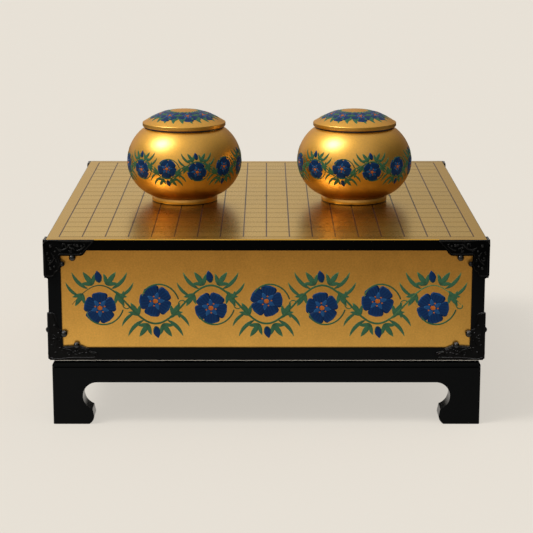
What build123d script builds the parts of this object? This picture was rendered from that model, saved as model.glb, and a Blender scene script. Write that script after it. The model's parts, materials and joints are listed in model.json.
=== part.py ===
from build123d import *
import math
import os

# A lacquered go set: a low stand, a boxed go board with two side drawers for the stones,
# and two lidded bowls standing on the board. Millimetres, +Z up, +Y away from the front,
# origin on the floor under the middle of the stand. Each written file is one real piece.

# ---------------------------------------------------------------- driving dimensions
BOARD_X, BOARD_Y = 424.0, 454.0      # full-size go board, played from front to back
LINES = 19                           # grid lines each way
GRID_MARGIN = 12.0                   # board edge to the first line
LINE_WIDTH, LINE_DEPTH = 1.2, 0.25   # cut and lacquer-filled lines
STAR_R = 2.0                         # star point dots
STAR_LINES = (3, 9, 15)              # counted from 0

STAND_H = 63.5
FELT_H, FELT_SET = 2.1, 4.4
CASE_H = 120.4
CASE_X, CASE_Y = 421.8, 451.8        # over the posts and rails
POST = 12.8                          # square section of the corner posts
SLAB_H = 11.0                        # thickness of the board itself
RAIL_H = 12.6
BASE_H = 6.0
PANEL_T, PANEL_SET = 6.0, 1.5        # panel thickness and how far it lies behind the posts
TONGUE, TONGUE_T = 3.0, 3.0          # tongue round each panel
EDGE_R, POST_R = 1.2, 1.0            # softened edges of the board and the posts

DRAWER_Y, DRAWER_H = 330.0, 68.0     # opening in each side panel
DRAWER_LOW = 26.4                    # the opening's sill above the case's foot
GAP = 0.6                            # clearance round a drawer
FRONT_T, SIDE_T, FLOOR_T = 8.0, 6.0, 4.0
DADO = 3.0                           # how deep floor and back sit in their grooves
LAP = 4.0                            # half-blind dovetails: depth into the drawer front
TAIL_PLACES, TAIL_W, TAIL_FLARE = (-21.0, 0.0, 21.0), 9.0, 1.5
DIVIDER_T = 6.0
RUNNER_T, LEDGE, LEDGE_T = 8.0, 21.0, 8.0

LEG_X, LEG_Y = 209.2, 224.2          # outer faces of legs and aprons, from the middle
LEG_T, LEG_EDGE_R = 20.0, 2.0        # thickness of each wing of a leg
NOTCH_R, NOTCH_IN, NOTCH_Z = 14.0, 43.5, 28.5   # round cut between leg and apron
SOLE_IN, TOE_IN, TOE_Z = 35.2, 40.2, 8.0        # end of the sole, tip of the toe
APRON_T = 14.0
REBATE_T, REBATE_H = 2.0, 1.2        # shadow line under the stand's top
TOP_T, TOP_SET = 5.0, 0.2            # the stand's top frame, set in behind the legs' faces
TOP_RAIL_W = 50.0
TENON = 10.0

BOWL_X = {"left": -87.2, "right": 93.4}
BOWL_Y = -22.0
BOWL_R, BELLY_Z = 60.5, 43.0         # the belly is two arcs that meet at its widest
UPPER_R, LOWER_R = 42.5, 38.9
BOWL_WALL, BOWL_FLOOR_Z = 5.0, 10.5
FOOT_R, FOOT_IN_R, FOOT_H, FOOT_HOLLOW = 34.9, 30.0, 5.8, 3.5
FOOT_TUCK, FOOT_BULGE_Z = 0.7, 2.6   # the foot ring swells between its two edges
SHOULDER_Z, LIP_Z = 78.1, 79.8
LIP_R, MOUTH_R = 41.4, 36.5
LID_R, LID_RIM_H, LID_TOP_Z, LID_WALL = 43.9, 4.5, 97.3, 4.0
SPIGOT_R, SPIGOT_IN_R, SPIGOT_H = 35.9, 33.0, 4.0

UPPER_OUT, LOWER_OUT = 3.1, 1.0      # how far the fittings stand out from the posts
UPPER_DROP, LOWER_RAISE = 0.2, 1.2   # how far they stay clear of the case's top and foot
BALL_R, BUD_R = 3.2, 2.4             # ball bosses cast on their inner edges
BALL_OUT = 1.8                       # from the posts' faces out to the balls' centres
NAIL_R, NAIL_HEAD_R, NAIL_HEAD_H, NAIL_LONG = 0.8, 1.6, 0.9, 7.0
NAIL_SHIFT = 3.5                     # keeps the two nails at one corner clear of each other

KNOB_PLATE_R, KNOB_PLATE_T = 11.0, 1.5
KNOB_R, KNOB_OUT, KNOB_STEM_R, KNOB_STEM, KNOB_SHANK_R = 7.5, 15.0, 3.2, 6.0, 2.0

# ---------------------------------------------------------------- levels and faces
CASE_Z = STAND_H + FELT_H
TOP_Z = CASE_Z + CASE_H
SLAB_Z = TOP_Z - SLAB_H
RAIL_TOP = CASE_Z + RAIL_H
BASE_TOP = CASE_Z + BASE_H
SLAB_X, SLAB_Y = BOARD_X / 2, BOARD_Y / 2
HALF_X, HALF_Y = CASE_X / 2, CASE_Y / 2
IN_X, IN_Y = HALF_X - POST, HALF_Y - POST
PANEL_X, PANEL_Y = HALF_X - PANEL_SET, HALF_Y - PANEL_SET
SILL = CASE_Z + DRAWER_LOW
HEAD = SILL + DRAWER_H
MOUTH_Y = DRAWER_Y / 2
STOP_X = PANEL_X - FRONT_T           # a shut drawer front rests on the runners' ends here
DRAWER_END = DIVIDER_T / 2 + 9.0
DRAWER_WALL_TOP = HEAD - 5.0
KICKER_Z = DRAWER_WALL_TOP + GAP
LEG_TOP = STAND_H - TOP_T
APRON_Z = NOTCH_Z + NOTCH_R
SIDES = {"left": -1, "right": 1}
ENDS = {"front": -1, "back": 1}
CORNERS = [(end, side, sx, sy) for end, sy in ENDS.items() for side, sx in SIDES.items()]

pieces = {}


# ---------------------------------------------------------------- drawing helpers
def block(x, y, z):
    """A box between two values along each axis, given in either order."""
    spans = [sorted(pair) for pair in (x, y, z)]
    low = [span[0] for span in spans]
    size = [span[1] - span[0] for span in spans]
    return Pos(*low) * Box(*size, align=(Align.MIN, Align.MIN, Align.MIN))


def about(half, middle=0.0):
    return (middle - half, middle + half)


def drawn(start, *steps):
    """A closed face: a point is a straight edge to it, a pair of points is an arc
    through the first to the second."""
    edges, here = [], start
    for step in steps:
        if isinstance(step[0], tuple):
            edges.append(ThreePointArc(here, *step))
            here = step[1]
        else:
            edges.append(Line(here, step))
            here = step
    edges.append(Line(here, start))
    return make_face(edges)


def turned(face):
    """A face drawn as radius and height, turned about Z."""
    return revolve(Plane.XZ * face, Axis.Z)


def upright(face, thickness):
    """A face drawn as X and Z, given its thickness towards +Y."""
    return extrude(Plane.XZ * face, -thickness)


def corner_edge(solid, sx, sy):
    """The upright edge of a solid that lies farthest out towards one corner."""
    edges = solid.edges().filter_by(Axis.Z)
    return max(edges, key=lambda edge: sx * edge.center().X + sy * edge.center().Y)


def cut_from(piece, names):
    for name in names:
        piece = piece - pieces[name]
    return piece


# ---------------------------------------------------------------- the case's frame
def tongued_panel(half, face_y):
    """A panel across the back, its outer face at face_y, with a tongue on all four edges."""
    board = block(about(half), (face_y - PANEL_T, face_y), (RAIL_TOP, SLAB_Z))
    tongue_y = about(TONGUE_T / 2, face_y - PANEL_T / 2)
    return board + block(about(half + TONGUE), tongue_y, (RAIL_TOP - TONGUE, SLAB_Z + TONGUE))


def make_panels():
    pieces["back_panel"] = tongued_panel(IN_X, PANEL_Y)
    pieces["front_panel"] = mirror(pieces["back_panel"], Plane.XZ)
    opening = block(about(MOUTH_Y), (0, CASE_X), (SILL, HEAD))
    pieces["left_panel"] = Rot(0, 0, 90) * (tongued_panel(IN_Y, PANEL_X) - opening)
    pieces["right_panel"] = mirror(pieces["left_panel"], Plane.YZ)


def make_rails():
    """Bottom rails, tenoned into the posts: front and back tenons low, side tenons high."""
    reach, half = 6.0, 2.5
    for end, sy in ENDS.items():
        rail = block(about(IN_X), (sy * HALF_Y, sy * IN_Y), (CASE_Z, RAIL_TOP))
        middle = sy * (HALF_Y - POST / 2)
        rail += block(about(IN_X + reach), about(half, middle), (CASE_Z + 1, CASE_Z + 5))
        pieces[end + "_bottom_rail"] = cut_from(rail, [end + "_panel"])
    for side, sx in SIDES.items():
        rail = block((sx * HALF_X, sx * IN_X), about(IN_Y), (CASE_Z, RAIL_TOP))
        middle = sx * (HALF_X - POST / 2)
        rail += block(about(half, middle), about(IN_Y + reach), (CASE_Z + 6, CASE_Z + 10))
        pieces[side + "_bottom_rail"] = cut_from(rail, [side + "_panel"])


def make_posts():
    stub = 3.0
    for end, side, sx, sy in CORNERS:
        post = block((sx * HALF_X, sx * IN_X), (sy * HALF_Y, sy * IN_Y), (CASE_Z, SLAB_Z))
        post = fillet(corner_edge(post, sx, sy), POST_R)
        middle_x, middle_y = sx * (HALF_X - POST / 2), sy * (HALF_Y - POST / 2)
        post += block(about(stub, middle_x), about(stub, middle_y), (SLAB_Z, SLAB_Z + 5))
        joined = [f"{end}_panel", f"{side}_panel", f"{end}_bottom_rail", f"{side}_bottom_rail"]
        pieces[f"{end}_{side}_post"] = cut_from(post, joined)


def make_base():
    """The base board, its tongues let into grooves in the four bottom rails."""
    board = block(about(IN_X), about(IN_Y), (CASE_Z, BASE_TOP))
    tongue_z = about(TONGUE_T / 2, CASE_Z + BASE_H / 2)
    board += block(about(IN_X + TONGUE), about(IN_Y), tongue_z)
    board += block(about(IN_X), about(IN_Y + TONGUE), tongue_z)
    pieces["base_board"] = board
    for name in ("front", "back", "left", "right"):
        pieces[name + "_bottom_rail"] -= board


def make_drawer_housing():
    """Channels that carry and guide both drawers, and the divider between the drawers."""
    rails = [name for name in pieces if name.endswith("_bottom_rail")]
    wall_y = (MOUTH_Y, MOUTH_Y + RUNNER_T)
    ledge_y = (MOUTH_Y + RUNNER_T - LEDGE, MOUTH_Y + RUNNER_T)
    runner = block(about(STOP_X), wall_y, (BASE_TOP, KICKER_Z + 6))
    runner += block(about(STOP_X), ledge_y, (SILL - LEDGE_T, SILL))
    runner += block(about(STOP_X), ledge_y, (KICKER_Z, KICKER_Z + 6))
    pieces["back_drawer_runner"] = cut_from(runner, rails)
    pieces["front_drawer_runner"] = mirror(pieces["back_drawer_runner"], Plane.XZ)
    divider = block(about(DIVIDER_T / 2), about(PANEL_Y - PANEL_T), (BASE_TOP, SLAB_Z))
    runners = ["back_drawer_runner", "front_drawer_runner"]
    pieces["drawer_divider"] = cut_from(divider, rails + runners)


# ---------------------------------------------------------------- the go board
def grid_places(size):
    step = (size - 2 * GRID_MARGIN) / (LINES - 1)
    return [(i - (LINES - 1) / 2) * step for i in range(LINES)]


def make_board():
    xs, ys = grid_places(BOARD_X), grid_places(BOARD_Y)
    half_x, half_y = xs[-1] + LINE_WIDTH / 2, ys[-1] + LINE_WIDTH / 2
    cut = (TOP_Z - LINE_DEPTH, TOP_Z + 1)
    slab = block(about(SLAB_X), about(SLAB_Y), (SLAB_Z, TOP_Z))
    slab = fillet(slab.edges().group_by(Axis.Z)[-1], EDGE_R)
    lines = [block(about(LINE_WIDTH / 2, x), about(half_y), cut) for x in xs]
    lines += [block(about(half_x), about(LINE_WIDTH / 2, y), cut) for y in ys]
    dot = Cylinder(STAR_R, 1, align=(Align.CENTER, Align.CENTER, Align.MIN))
    stars = [Pos(xs[i], ys[j], cut[0]) * dot for i in STAR_LINES for j in STAR_LINES]
    slab -= lines[0].fuse(*lines[1:], *stars)
    seated = [name for name in pieces if name.endswith(("_panel", "_post"))]
    pieces["playing_board"] = cut_from(slab, seated)


# ---------------------------------------------------------------- corner fittings
def upper_plates():
    """Outlines of the front and side plates of an upper fitting, from the outer top
    corner: X along the edge, Z down. Both have the same leg down the post."""
    leg = (
        (16.2, -20.2), ((18.2, -23.9), (15.6, -27.6)), (15.0, -30.4),
        ((12.0, -31.6), (10.4, -34.6)), ((7.5, -38.2), (2.2, -37.2)), (0, -34.5),
    )
    arm = ((48.5, 0), (49.3, -2.2), (40.5, -11.4), ((38.0, -14.6), (34.0, -15.7)), (16.2, -15.7))
    return drawn((0, 0), *arm, *leg), drawn((0, 0), (16.2, 0), *leg)


def lower_plates():
    """Outlines of the front and side plates of a lower fitting, from the outer foot
    corner: X along the edge, Z up. Both have the same leg up the post."""
    leg = (
        (14.4, 22.0), (13.2, 29.0), ((10.2, 31.9), (8.6, 38.0)), ((6.6, 45.3), (0, 46.0)),
    )
    arm = (
        (44.0, 0), ((48.0, 3.4), (44.6, 7.2)), ((41.2, 7.9), (38.8, 10.6)),
        (31.0, 14.0), (14.4, 12.8),
    )
    return drawn((0, 0), *arm, *leg), drawn((0, 0), (14.4, 0), *leg)


def cap(edge, top):
    """The arc of a ball-shaped cap, from an edge point over to the axis at height top."""
    radius, foot = edge
    rise = top - foot
    ball = (radius**2 + rise**2) / (2 * rise)
    return ((radius / 2, top - ball + math.sqrt(ball**2 - radius**2 / 4)), (0, top))


def swap_sides(solid):
    """Mirrored so that what ran along X runs along Y."""
    return mirror(solid, Plane(origin=(0, 0, 0), x_dir=(1, 1, 0), z_dir=(1, -1, 0)))


def cast_angle(plates, out, arm_boss, leg_boss):
    """A front and a side plate meeting at a corner on Z. A ball boss (along, height,
    radius) hangs on the front plate's arm, and one on the leg of each plate."""
    wings = []
    for plate, bosses in zip(plates, ((arm_boss, leg_boss), (leg_boss,))):
        wing = upright(plate, out)
        for along, height, radius in bosses:
            wing += Pos(along, out - BALL_OUT, height) * Sphere(radius)
        wings.append(wing)
    angle = wings[0] + swap_sides(wings[1])
    return fillet(corner_edge(angle, -1, -1), 1.0)


def angle_nails(places, shift):
    """Round-headed nails through a fitting, heads on its outer faces. Those of the legs
    go through both plates, the side plate's shifted clear of the front plate's."""
    shank = Cylinder(NAIL_R, NAIL_LONG, align=(Align.CENTER, Align.CENTER, Align.MAX))
    rim = (NAIL_HEAD_R, 0)
    nail = shank + turned(drawn((0, 0), rim, cap(rim, NAIL_HEAD_H)))
    nails = []
    for along, height in places:
        nails.append(Pos(along, 0, height) * Rot(90, 0, 0) * nail)
        if along < POST:
            nails.append(Pos(0, along, height + shift) * Rot(0, -90, 0) * nail)
    return nails


def make_fittings():
    """A fitting at each upper and lower corner of the case; gives back all the nails."""
    room = block(about(SLAB_X), about(SLAB_Y), (SLAB_Z, TOP_Z + 1))
    room += block((-HALF_X, -IN_X), (-HALF_Y, -IN_Y), (CASE_Z, SLAB_Z))
    upper = cast_angle(upper_plates(), UPPER_OUT, (27.5, -17.8, BALL_R), (17.7, -24.0, BUD_R))
    lower = cast_angle(lower_plates(), LOWER_OUT, (27.6, 14.2, 3.0), (15.8, 25.6, BALL_R))
    upper_nails = ((7.0, -6.0), (33.0, -5.5), (6.5, -28.0))
    lower_nails = ((7.0, 6.0), (33.0, 5.5), (6.5, 33.0))
    levels = {
        "upper": (upper, UPPER_OUT, TOP_Z - UPPER_DROP, upper_nails),
        "lower": (lower, LOWER_OUT, CASE_Z + LOWER_RAISE, lower_nails),
    }
    all_nails = []
    for level, (casting, out, z, places) in levels.items():
        place = Pos(-HALF_X - out, -HALF_Y - out, z)
        fitting = place * casting - room
        shift = -NAIL_SHIFT if level == "upper" else NAIL_SHIFT
        nails = [place * nail for nail in angle_nails(places, shift)]
        for nail in nails:
            fitting -= nail
        for end, side, sx, sy in CORNERS:
            here = [fitting] + nails
            if sx > 0:
                here = [mirror(solid, Plane.YZ) for solid in here]
            if sy > 0:
                here = [mirror(solid, Plane.XZ) for solid in here]
            pieces[f"{end}_{side}_{level}_fitting"] = here[0]
            all_nails += here[1:]
    return all_nails


def drive_nails(nails):
    """Gather the nails as one piece and bore their holes in the wood behind."""
    together = nails[0].fuse(*nails[1:])
    wood = [name for name in pieces if name.endswith(("_post", "_bottom_rail"))]
    for name in wood + ["playing_board"]:
        pieces[name] = pieces[name] - together
    pieces["fitting_nails"] = together


# ---------------------------------------------------------------- drawers
def make_drawer():
    """The left drawer. Its sides run on the ledges; the floor slides in under its back."""
    half = MOUTH_Y - GAP
    inner = half - SIDE_T
    z_mid = (SILL + DRAWER_WALL_TOP) / 2
    floor_z = (SILL + 2.0, SILL + 2.0 + FLOOR_T)
    front = block((-PANEL_X, -STOP_X), about(half), (SILL + GAP, HEAD - GAP))
    floor = block((-STOP_X - DADO, -DRAWER_END), about(inner + DADO), floor_z)
    back_x = (-DRAWER_END - SIDE_T, -DRAWER_END)
    back = block(back_x, about(inner + DADO), (floor_z[1], DRAWER_WALL_TOP))
    side = block((-STOP_X, -DRAWER_END), (inner, half), (SILL, DRAWER_WALL_TOP))
    narrow, wide = TAIL_W / 2, TAIL_W / 2 + TAIL_FLARE
    for shift in TAIL_PLACES:
        z = z_mid + shift
        tail = drawn(
            (-STOP_X, z - narrow), (-STOP_X, z + narrow),
            (-STOP_X - LAP, z + wide), (-STOP_X - LAP, z - wide),
        )
        side += Pos(0, inner, 0) * upright(tail, SIDE_T)
    side = side - floor - back
    other_side = mirror(side, Plane.XZ)
    front = front - side - other_side - floor
    front = fillet(front.faces().sort_by(Axis.X)[0].edges(), 0.8)
    return {
        "front": front, "floor": floor, "back": back,
        "back_side": side, "front_side": other_side,
    }


def make_knob():
    """A turned knob, its shank through the drawer front, seated on a round plate."""
    widest = (KNOB_R, KNOB_STEM + 4.6)
    knob = turned(drawn(
        (0, -FRONT_T), (KNOB_SHANK_R, -FRONT_T), (KNOB_SHANK_R, KNOB_PLATE_T),
        (KNOB_STEM_R, KNOB_PLATE_T), (KNOB_STEM_R, KNOB_STEM),
        ((KNOB_R * 0.86, KNOB_STEM + 1.6), widest), cap(widest, KNOB_OUT),
    ))
    plate = turned(drawn(
        (KNOB_SHANK_R, 0), (KNOB_PLATE_R, 0), (KNOB_PLATE_R, KNOB_PLATE_T * 0.5),
        (KNOB_PLATE_R - 1.2, KNOB_PLATE_T), (KNOB_SHANK_R, KNOB_PLATE_T),
    ))
    return knob, plate


def make_drawers():
    left = make_drawer()
    place = Pos(-PANEL_X, 0, (SILL + HEAD) / 2) * Rot(0, -90, 0)
    knob, plate = make_knob()
    left["knob"], left["knob_plate"] = place * knob, place * plate
    left["front"] = left["front"] - left["knob"]
    for name, piece in left.items():
        pieces["left_drawer_" + name] = piece
        pieces["right_drawer_" + name] = mirror(piece, Plane.YZ)


# ---------------------------------------------------------------- bowls
def on_arc(radius, z, wall=0.0):
    """Radius of the belly at height z, on the arc of the given radius or a wall inside it."""
    return BOWL_R - radius + math.sqrt((radius - wall) ** 2 - (z - BELLY_Z) ** 2)


def make_bowl():
    neck_z = BELLY_Z + math.sqrt(
        (UPPER_R - BOWL_WALL) ** 2 - (MOUTH_R - BOWL_R + UPPER_R) ** 2
    )
    low, high = BELLY_Z - 22.0, BELLY_Z + 20.0
    foot_edge = FOOT_R - FOOT_TUCK
    return turned(drawn(
        (0, FOOT_HOLLOW), (FOOT_IN_R, FOOT_HOLLOW), (FOOT_IN_R, 0), (foot_edge, 0),
        ((FOOT_R, FOOT_BULGE_Z), (foot_edge, FOOT_H)), (on_arc(LOWER_R, FOOT_H), FOOT_H),
        ((on_arc(LOWER_R, low), low), (BOWL_R, BELLY_Z)),
        ((on_arc(UPPER_R, high), high), (on_arc(UPPER_R, SHOULDER_Z), SHOULDER_Z)),
        (LIP_R, SHOULDER_Z), (LIP_R, LIP_Z), (MOUTH_R, LIP_Z), (MOUTH_R, neck_z),
        ((on_arc(UPPER_R, high, BOWL_WALL), high), (BOWL_R - BOWL_WALL, BELLY_Z)),
        ((on_arc(LOWER_R, low, BOWL_WALL), low),
         (on_arc(LOWER_R, BOWL_FLOOR_Z, BOWL_WALL), BOWL_FLOOR_Z)),
        (0, BOWL_FLOOR_Z),
    ))


def make_lid():
    """A domed lid resting on the bowl's lip, with a spigot inside the mouth."""
    rim_top, spigot_z = LIP_Z + LID_RIM_H, LIP_Z - SPIGOT_H
    edge, hollow_edge = (LID_R - 1.1, rim_top), (SPIGOT_IN_R, rim_top + 1.8)
    hollow_via, hollow_top = cap(hollow_edge, LID_TOP_Z - LID_WALL)
    return turned(drawn(
        hollow_top, (hollow_via, hollow_edge), (SPIGOT_IN_R, spigot_z),
        (SPIGOT_R - 0.8, spigot_z), (SPIGOT_R, spigot_z + 0.8), (SPIGOT_R, LIP_Z),
        (LID_R - 1.0, LIP_Z),
        ((LID_R - 0.3, LIP_Z + 0.3), (LID_R, LIP_Z + 1.0)), (LID_R, rim_top - 1.0),
        ((LID_R - 0.35, rim_top - 0.3), edge), cap(edge, LID_TOP_Z),
    ))


def make_bowls():
    bowl, lid = make_bowl(), make_lid()
    for side, x in BOWL_X.items():
        place = Pos(x, BOWL_Y, TOP_Z)
        pieces[side + "_bowl"] = place * bowl
        pieces[side + "_bowl_lid"] = place * lid


# ---------------------------------------------------------------- the stand
def mitred_rail(half_long, half_wide):
    """A rail of the stand's top along X, at -Y: moulded outer edge and mitred ends."""
    out_x, out_y = half_long - TOP_SET, half_wide - TOP_SET
    in_x, in_y = out_x - TOP_RAIL_W, out_y - TOP_RAIL_W
    section = drawn(
        (-out_y, LEG_TOP), ((-out_y + 0.7, LEG_TOP + 3.0), (-out_y + 2.3, STAND_H)),
        (-in_y, STAND_H), (-in_y, LEG_TOP),
    )
    plan = drawn((-out_x, -out_y), (out_x, -out_y), (in_x, -in_y), (-in_x, -in_y))
    return extrude(Plane.YZ * section, out_x, both=True) & extrude(plan, 2 * STAND_H)


def make_stand_top():
    tongue = 5.0
    in_x, in_y = LEG_X - TOP_SET - TOP_RAIL_W, LEG_Y - TOP_SET - TOP_RAIL_W
    board = block(about(in_x), about(in_y), (LEG_TOP, STAND_H))
    board += block(about(in_x + tongue), about(in_y + tongue), about(1.0, LEG_TOP + TOP_T / 2))
    front = mitred_rail(LEG_X, LEG_Y) - board
    left = Rot(0, 0, -90) * mitred_rail(LEG_Y, LEG_X) - board
    pieces["stand_top_panel"] = board
    pieces["stand_front_rail"] = front
    pieces["stand_back_rail"] = mirror(front, Plane.XZ)
    pieces["stand_left_rail"] = left
    pieces["stand_right_rail"] = mirror(left, Plane.YZ)


def leg_wing():
    """A wing of a leg from its outer corner: sole, toe, round notch, then up to the top."""
    in_notch = NOTCH_IN - TOE_IN + 1.5
    toe_top = (TOE_IN - 1.5, NOTCH_Z - math.sqrt(NOTCH_R**2 - in_notch**2))
    return drawn(
        (0, 0), (SOLE_IN, 0), ((SOLE_IN + 3.6, 3.4), (TOE_IN, TOE_Z)), toe_top,
        ((NOTCH_IN - NOTCH_R, NOTCH_Z), (NOTCH_IN, APRON_Z)),
        (NOTCH_IN, LEG_TOP), (0, LEG_TOP),
    )


def make_aprons(rebate):
    """Aprons tenoned into the legs above the round notches."""
    tenon_z = about(4.5, APRON_Z + 7.0)
    for end, sy in ENDS.items():
        span, face = LEG_X - NOTCH_IN, sy * LEG_Y
        middle = sy * (LEG_Y - APRON_T / 2 - 1)
        apron = block(about(span), (face, face - sy * APRON_T), (APRON_Z, LEG_TOP))
        apron += block(about(span + TENON), about(3, middle), tenon_z)
        pieces[end + "_apron"] = apron - rebate
    for side, sx in SIDES.items():
        span, face = LEG_Y - NOTCH_IN, sx * LEG_X
        middle = sx * (LEG_X - APRON_T / 2 - 1)
        apron = block((face, face - sx * APRON_T), about(span), (APRON_Z, LEG_TOP))
        apron += block(about(3, middle), about(span + TENON), tenon_z)
        pieces[side + "_apron"] = apron - rebate


def make_stand_frame():
    """Legs and aprons, all with a shadow rebate along the top."""
    rebate_z = (LEG_TOP - REBATE_H, LEG_TOP)
    rebate = block(about(LEG_X + 1), about(LEG_Y + 1), rebate_z)
    rebate -= block(about(LEG_X - REBATE_T), about(LEG_Y - REBATE_T), rebate_z)
    make_aprons(rebate)
    wing = upright(leg_wing(), LEG_T)
    leg = wing + swap_sides(wing)
    leg = Pos(-LEG_X, -LEG_Y, 0) * fillet(corner_edge(leg, -1, -1), LEG_EDGE_R) - rebate
    leg = cut_from(leg, ["front_apron", "left_apron"])
    for end, side, sx, sy in CORNERS:
        here = mirror(leg, Plane.YZ) if sx > 0 else leg
        pieces[f"{end}_{side}_leg"] = mirror(here, Plane.XZ) if sy > 0 else here


def make_felt():
    """A felt sheet on the stand's top, a little smaller than the case that stands on it."""
    x, y = HALF_X - FELT_SET, HALF_Y - FELT_SET
    pieces["stand_felt"] = block(about(x), about(y), (STAND_H, CASE_Z))


make_panels()
make_rails()
make_posts()
make_base()
make_drawer_housing()
make_board()
drive_nails(make_fittings())
make_drawers()
make_bowls()
make_stand_top()
make_stand_frame()
make_felt()

os.makedirs("parts", exist_ok=True)
for name, piece in pieces.items():
    export_step(piece, f"parts/{name}.step")
print(len(pieces), "pieces")
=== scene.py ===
# %% [markdown]
# # A lacquered go set in Blender
# The set is a low black stand, a gold and black case whose top is the go board, and two
# round gold bowls with lids. Its solids come ready made from CAD. This lesson gives them
# their lacquer, gold, metal and felt, adds the painted scroll and the cast ornament, and
# sets up a small photo studio around them.

import json
import math

import bpy
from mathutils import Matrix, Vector

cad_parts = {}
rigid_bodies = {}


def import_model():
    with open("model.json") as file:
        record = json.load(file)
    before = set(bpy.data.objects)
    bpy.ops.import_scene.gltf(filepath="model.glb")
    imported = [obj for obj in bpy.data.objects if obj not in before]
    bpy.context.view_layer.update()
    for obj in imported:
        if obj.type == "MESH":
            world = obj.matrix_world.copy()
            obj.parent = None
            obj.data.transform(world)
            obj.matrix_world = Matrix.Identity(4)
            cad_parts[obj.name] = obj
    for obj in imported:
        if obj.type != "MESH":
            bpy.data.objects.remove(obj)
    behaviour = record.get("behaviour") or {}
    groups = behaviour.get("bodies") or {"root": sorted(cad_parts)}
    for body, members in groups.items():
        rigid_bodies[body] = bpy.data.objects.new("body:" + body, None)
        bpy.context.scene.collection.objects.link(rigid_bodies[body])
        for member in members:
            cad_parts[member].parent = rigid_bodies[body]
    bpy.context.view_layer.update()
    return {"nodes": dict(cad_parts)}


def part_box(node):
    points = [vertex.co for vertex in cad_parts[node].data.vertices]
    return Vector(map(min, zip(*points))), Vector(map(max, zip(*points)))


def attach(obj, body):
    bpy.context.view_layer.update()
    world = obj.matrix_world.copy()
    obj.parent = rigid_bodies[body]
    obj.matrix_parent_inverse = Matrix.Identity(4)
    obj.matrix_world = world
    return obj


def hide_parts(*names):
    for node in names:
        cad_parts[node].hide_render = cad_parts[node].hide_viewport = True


for leftover in list(bpy.data.objects):
    bpy.data.objects.remove(leftover)
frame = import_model()
nodes = frame["nodes"]

# %% [markdown]
# ## Measures
# Blender works in metres here, while a cabinet maker thinks in millimetres. One constant
# turns one into the other. Places are read from the solids' own boxes where possible, so
# that a piece made here sits on what carries it.

# %% Measures
MM = 0.001
UPPER_OUT, LOWER_OUT = 3.1, 1.0  # from the posts' faces out to the fittings' faces
post_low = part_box("front_left_post")[0]
post_x, post_y = -post_low.x / MM, -post_low.y / MM
board_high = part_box("playing_board")[1]
top_z = board_high.z
panel_y = -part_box("front_panel")[0].y
drawer_x = -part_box("left_drawer_front")[0].x
print("board top at", round(top_z / MM, 2), "mm; posts at", round(post_x, 2), round(post_y, 2))

# %% [markdown]
# ## Writing shaders as sums
# A material in Blender is a graph of nodes. For arithmetic that graph is hard to read, so
# `Wire` wraps a node's output and lets Python's own signs add the Math nodes.

# %% A wire
class Wire:
    """The output of a node, on which arithmetic adds Math nodes."""

    def __init__(self, graph, socket):
        self.graph, self.socket = graph, socket

    def other(self, name):
        """Another output of the same node."""
        return Wire(self.graph, self.socket.node.outputs[name])

    def math(self, operation, *others):
        values = dict(enumerate((self,) + others))
        return self.graph.add("ShaderNodeMath", {"operation": operation}, values)

    def __add__(self, other):
        return self.math("ADD", other)

    def __sub__(self, other):
        return self.math("SUBTRACT", other)

    def __mul__(self, other):
        return self.math("MULTIPLY", other)

    def __truediv__(self, other):
        return self.math("DIVIDE", other)

    def __pow__(self, other):
        return self.math("POWER", other)

    def __rsub__(self, other):
        return self * -1.0 + other

    __radd__, __rmul__ = __add__, __mul__

    def above(self, level, soft):
        """1 where the value is over the level, 0 under it, with a soft step."""
        settings = {"interpolation_type": "SMOOTHSTEP"}
        values = {0: self, 1: level - soft / 2, 2: level + soft / 2}
        return self.graph.add("ShaderNodeMapRange", settings, values)


print("a wire knows the signs + - * / **")

# %% [markdown]
# ## One method for every node
# In `Graph`, the method `add` makes every kind of node: it takes the type, the settings,
# and what goes into the sockets. The other methods are short names for nodes that come up
# often. Colours and vectors have nodes of their own, as a Math node would turn them grey.

# %% A graph
class Graph:
    """A tree of nodes."""

    def __init__(self, tree):
        self.tree = tree

    def add(self, kind, settings=None, values=None, out=0):
        """A node with its settings, then the values or wires of its sockets; gives an output."""
        node = self.tree.nodes.new(kind)
        for name, value in (settings or {}).items():
            if name == "stops":
                ramp = node.color_ramp
                while len(ramp.elements) < len(value):
                    ramp.elements.new(0.5)
                for element, (place, colour) in zip(ramp.elements, value):
                    element.position, element.color = place, (*colour, 1.0)
            else:
                setattr(node, name, value)
        for socket, value in (values or {}).items():
            if isinstance(value, Wire):
                self.tree.links.new(value.socket, node.inputs[socket])
            else:
                node.inputs[socket].default_value = value
        return Wire(self, node.outputs[out]) if node.outputs else None

    def parts(self, vector):
        """The three numbers of a vector."""
        x = self.add("ShaderNodeSeparateXYZ", None, {0: vector}, out="X")
        return x, x.other("Y"), x.other("Z")

    def times(self, first, second):
        """Two colours or vectors, multiplied number by number."""
        return self.add("ShaderNodeVectorMath", {"operation": "MULTIPLY"}, {0: first, 1: second})

    def noise(self, point, scale, detail=2.0, stretch=None):
        """Cloudy values round 0.5, at so many blotches to the metre."""
        values = {"Vector": self.times(point, stretch) if stretch else point}
        values.update({"Scale": scale, "Detail": detail})
        return self.add("ShaderNodeTexNoise", None, values)

    def mix(self, amount, first, second):
        """A colour that goes from first to second as amount goes from 0 to 1."""
        values = {0: amount, 6: first, 7: second}
        values = {k: (*v, 1.0) if isinstance(v, tuple) else v for k, v in values.items()}
        return self.add("ShaderNodeMix", {"data_type": "RGBA"}, values, out=2)


print("a graph has short names for noise, mix, times and parts")

# %% [markdown]
# ## One material
# `Finish` is the graph of one material with its Principled shader. Colours are written as
# a screen shows them, from 0 to 255, and turned into the light values that Blender uses.

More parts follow.
